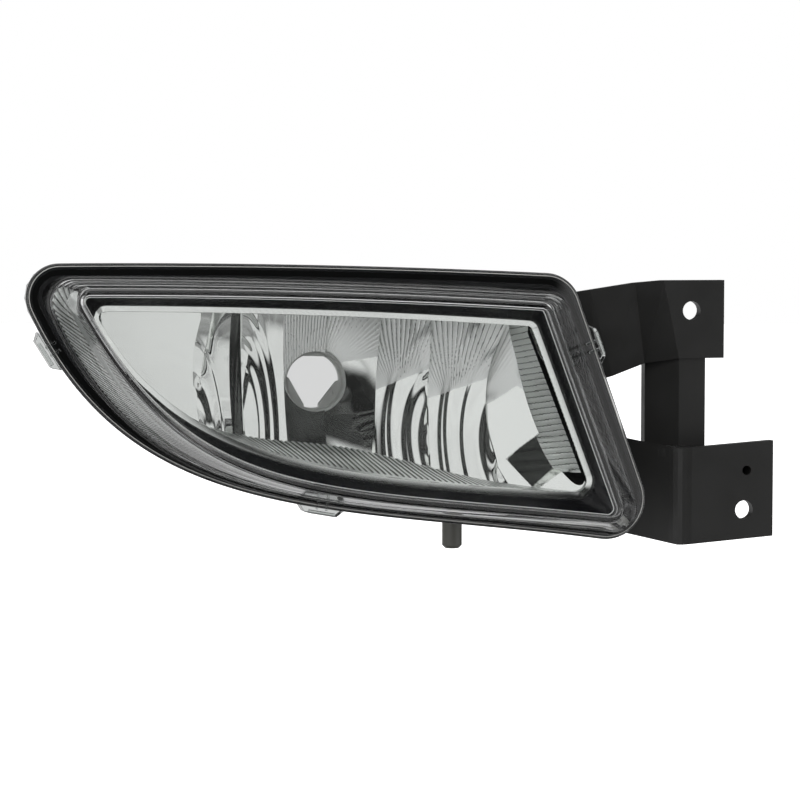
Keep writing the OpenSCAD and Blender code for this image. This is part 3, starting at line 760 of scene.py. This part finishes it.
def make_side_ribs(edge):
    """Ribbed strip from the last facet's right edge forward to the right-hand lip."""
    z = np.linspace(SIDE_RIB_BOTTOM, edge[-1, 2], 420)[:, None]
    u = np.linspace(0, 1, 8)[None, :]
    x1 = lip_right(z) - 1.3
    x0 = np.minimum(np.interp(z, edge[:, 2], edge[:, 0]), x1)
    y0 = np.interp(z, edge[:, 2], edge[:, 1])
    wave = np.abs(np.sin(math.pi * (z - 2 * u) / SIDE_RIB_PITCH))
    crown = np.sin(math.pi * (0.1 + 0.8 * u))
    y = y0 * (1 - u) + (LIP + 2.2) * u - SIDE_RIB_HEIGHT * wave * crown
    points = np.stack([x0 * (1 - u) + x1 * u, y, z + 0 * u], 2)
    # The grooves between the ribs get the dark painted-shade colour.
    for obj in ribbed("mirror_side_ribs", points, wave < GROOVE_WAVE, FLUTED, "lamp", "mirror_coat"):
        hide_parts("reflector")


# ---------------------------------------------------------------- bulb port
# Angle of each inward lug in degrees, its distance from the axis, and its half width in degrees
PORT_LUGS = [(-39, 7.1, 38), (-150, 7.3, 38), (88, 9.2, 24)]
PORT_BORE = 10.0
PORT_SIDES = 144


def make_port():
    """Ring of the port with three inward lugs, the top one shallow and wide, and the collar behind it."""
    turn = -np.linspace(0, 2 * math.pi, PORT_SIDES, endpoint=False)

    def lug(angle, reach, width):
        away = np.abs((turn - math.radians(angle) + math.pi) % (2 * math.pi) - math.pi)
        return np.where(away < math.radians(width), reach / np.maximum(np.cos(away), 0.5), PORT_BORE)

    def circle(radius, y):
        return np.stack([radius * np.cos(turn), np.full(PORT_SIDES, float(y)), radius * np.sin(turn)], 1)

    bore = np.minimum.reduce([lug(*spec) for spec in PORT_LUGS] + [np.full(PORT_SIDES, PORT_BORE)])
    front = [(11.9, -1), (11.9, -12.8), (11.6, -13.1), (11.2, -13.1), (10.9, -12.8), (10.8, -9.4),
             (bore, -9.4), (bore, -7.4), (11.5, -7.4), (11.5, -1)]
    back = [(12.9, -2), (12.9, -0.2), (12.7, 0), (11.9, 0), (11.7, -0.2), (11.7, -2)]
    for name, section in (("port_ring_front", front), ("port_ring_back", back)):
        obj = piece(name, *loft([circle(*point) for point in section], closed=True), PORT, "lamp",
                    "port_grey", sharp=35)
        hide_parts("bulb_port_ring")


# ---------------------------------------------------------------- studio
# Degrees and metres; the lens is in millimetres on a 36 mm sensor
CAMERA_AZIMUTH, CAMERA_ELEVATION = -15.0, 3.5
CAMERA_DISTANCE = 1.0
CAMERA_AIM = (0.0337, -0.0095, -0.0077)
CAMERA_LENS, CAMERA_SENSOR = 120, 36
FLOOR_DROP, FLOOR_RADIUS, FLOOR_SIDES = 0.3, 12.0, 64


def direction(azimuth, elevation):
    """Unit vector towards a place round the lamp; azimuth 0 is straight in front."""
    a, e = math.radians(azimuth), math.radians(elevation)
    return Vector((math.sin(a) * math.cos(e), -math.cos(a) * math.cos(e), math.sin(e)))


def aim(obj, target):
    """Turns a camera or light towards a point."""
    obj.rotation_euler = (Vector(target) - obj.location).to_track_quat("-Z", "Y").to_euler()


def make_camera():
    """Camera at the angle of the photo."""
    cam = bpy.data.objects.new("camera", bpy.data.cameras.new("camera"))
    cam.data.lens = CAMERA_LENS
    cam.data.sensor_width = CAMERA_SENSOR
    cam.data.clip_start, cam.data.clip_end = 0.05, 50
    cam.location = Vector(CAMERA_AIM) + direction(CAMERA_AZIMUTH, CAMERA_ELEVATION) * CAMERA_DISTANCE
    aim(cam, CAMERA_AIM)
    bpy.context.scene.collection.objects.link(cam)
    bpy.context.scene.camera = cam


def area_light(name, azimuth, elevation, distance, size, power):
    """Rectangular light aimed at the lamp, which mirrors and clear pieces don't show."""
    data = bpy.data.lights.new(name, "AREA")
    data.shape = "RECTANGLE"
    data.size, data.size_y = size
    data.energy = power
    obj = bpy.data.objects.new(name, data)
    obj.location = direction(azimuth, elevation) * distance
    aim(obj, (0, 0, 0))
    obj.visible_glossy = False
    obj.visible_transmission = False
    bpy.context.scene.collection.objects.link(obj)


def make_floor():
    """Plain pale disc below the lamp."""
    mesh = bpy.data.meshes.new("floor")
    angles = [2 * math.pi * i / FLOOR_SIDES for i in range(FLOOR_SIDES)]
    edge = [(FLOOR_RADIUS * math.cos(a), FLOOR_RADIUS * math.sin(a), 0) for a in angles]
    mesh.from_pydata(edge, [], [tuple(range(FLOOR_SIDES))])
    floor = bpy.data.objects.new("floor", mesh)
    floor.location.z = cad_low.z - FLOOR_DROP
    mat, _, node = principled("floor_pale", (0.9, 0.9, 0.9), 0.8)
    node.inputs["Emission Color"].default_value = (1, 1, 1, 1)
    node.inputs["Emission Strength"].default_value = 1.0
    mesh.materials.append(mat)
    floor.visible_glossy = False
    floor.visible_transmission = False
    floor.visible_diffuse = False
    bpy.context.scene.collection.objects.link(floor)


def maths(tree, operation, *values):
    """Math node on numbers or other nodes' outputs."""
    n = tree.nodes.new("ShaderNodeMath")
    n.operation = operation
    for socket, value in zip(n.inputs, values):
        if hasattr(value, "links"):
            tree.links.new(value, socket)
        else:
            socket.default_value = value
    return n.outputs["Value"]


def ramp(tree, value, start, end):
    """0 at start, 1 at end, smooth in between."""
    n = tree.nodes.new("ShaderNodeMapRange")
    n.interpolation_type = "SMOOTHSTEP"
    n.inputs["From Min"].default_value = start
    n.inputs["From Max"].default_value = end
    tree.links.new(value, n.inputs["Value"])
    return n.outputs["Result"]


def window(tree, value, low, high, soft):
    """1 between low and high, 0 outside, with soft edges."""
    return maths(tree, "MULTIPLY", ramp(tree, value, low - soft, low + soft),
                 ramp(tree, value, high + soft, high - soft))


# Softboxes of the studio in degrees round the lamp: azimuth from, to, elevation from, to, edge, brightness
SOFTBOXES = [
    (-85, -20, -24, 30, 4, 0.86),
    (27, 85, -24, 30, 4, 0.84),
    (-34, 34, -54, -22, 5, 0.8),
    (-80, -34, -56, -24, 5, 0.38),
    (34, 80, -56, -24, 5, 0.38),
    (-180, 180, 36, 95, 3, 0.84),
    (-136, -98, -70, 45, 5, 0.4),
    (98, 136, -70, 45, 5, 0.18),
]
DARK_ROOM = 0.02
# Backdrop behind the lamp: azimuth where it starts and where it is full, then as for the softboxes
BACKDROP = (138, 144, -40, 9, 3, 0.72)


def make_world():
    """Dark room with softboxes round the lamp; the camera itself sees white."""
    world = bpy.data.worlds.new("studio")
    bpy.context.scene.world = world
    world.use_nodes = True
    tree = world.node_tree
    background = tree.nodes["Background"]
    background.inputs["Color"].default_value = (1, 1, 1, 1)
    coords = tree.nodes.new("ShaderNodeTexCoord")
    axes = tree.nodes.new("ShaderNodeSeparateXYZ")
    tree.links.new(coords.outputs["Generated"], axes.inputs["Vector"])
    x, y, z = axes.outputs["X"], axes.outputs["Y"], axes.outputs["Z"]
    forward = maths(tree, "MULTIPLY", y, -1.0)
    azimuth = maths(tree, "DEGREES", maths(tree, "ARCTAN2", x, forward))
    elevation = maths(tree, "DEGREES", maths(tree, "ARCSINE", z))
    behind = maths(tree, "ABSOLUTE", azimuth)
    start, full, low, high, edge, brightness = BACKDROP
    backdrop = maths(tree, "MULTIPLY", ramp(tree, behind, start, full),
                     window(tree, elevation, low, high, edge))
    total = maths(tree, "MULTIPLY", backdrop, brightness)
    for az0, az1, el0, el1, soft, power in SOFTBOXES:
        box = maths(tree, "MULTIPLY", window(tree, azimuth, az0, az1, soft),
                    window(tree, elevation, el0, el1, soft))
        total = maths(tree, "MAXIMUM", total, maths(tree, "MULTIPLY", box, power))
    total = maths(tree, "ADD", total, DARK_ROOM)
    ray = tree.nodes.new("ShaderNodeLightPath")
    seen = maths(tree, "MAXIMUM", total, ray.outputs["Is Camera Ray"])
    tree.links.new(seen, background.inputs["Strength"])


def make_studio():
    """World, floor, camera, two soft lights, and enough light bounces for mirrors behind a lens."""
    make_world()
    make_floor()
    make_camera()
    area_light("key", -45, 50, 1.7, (1.0, 0.8), 10)
    area_light("fill", -22, 12, 1.7, (0.5, 0.5), 6)
    scene = bpy.context.scene
    scene.view_settings.view_transform = "Standard"
    scene.view_settings.look = "None"
    scene.cycles.max_bounces = 16
    scene.cycles.glossy_bounces = 10
    scene.cycles.transmission_bounces = 14
    scene.cycles.transparent_max_bounces = 12


make_studio()
dress_nodes()
make_lens()
make_rim_highlight_bead()
make_bezel()
make_bezel_edge_highlight()
make_trim()
make_reflector()
make_mirror_rim()
make_port()
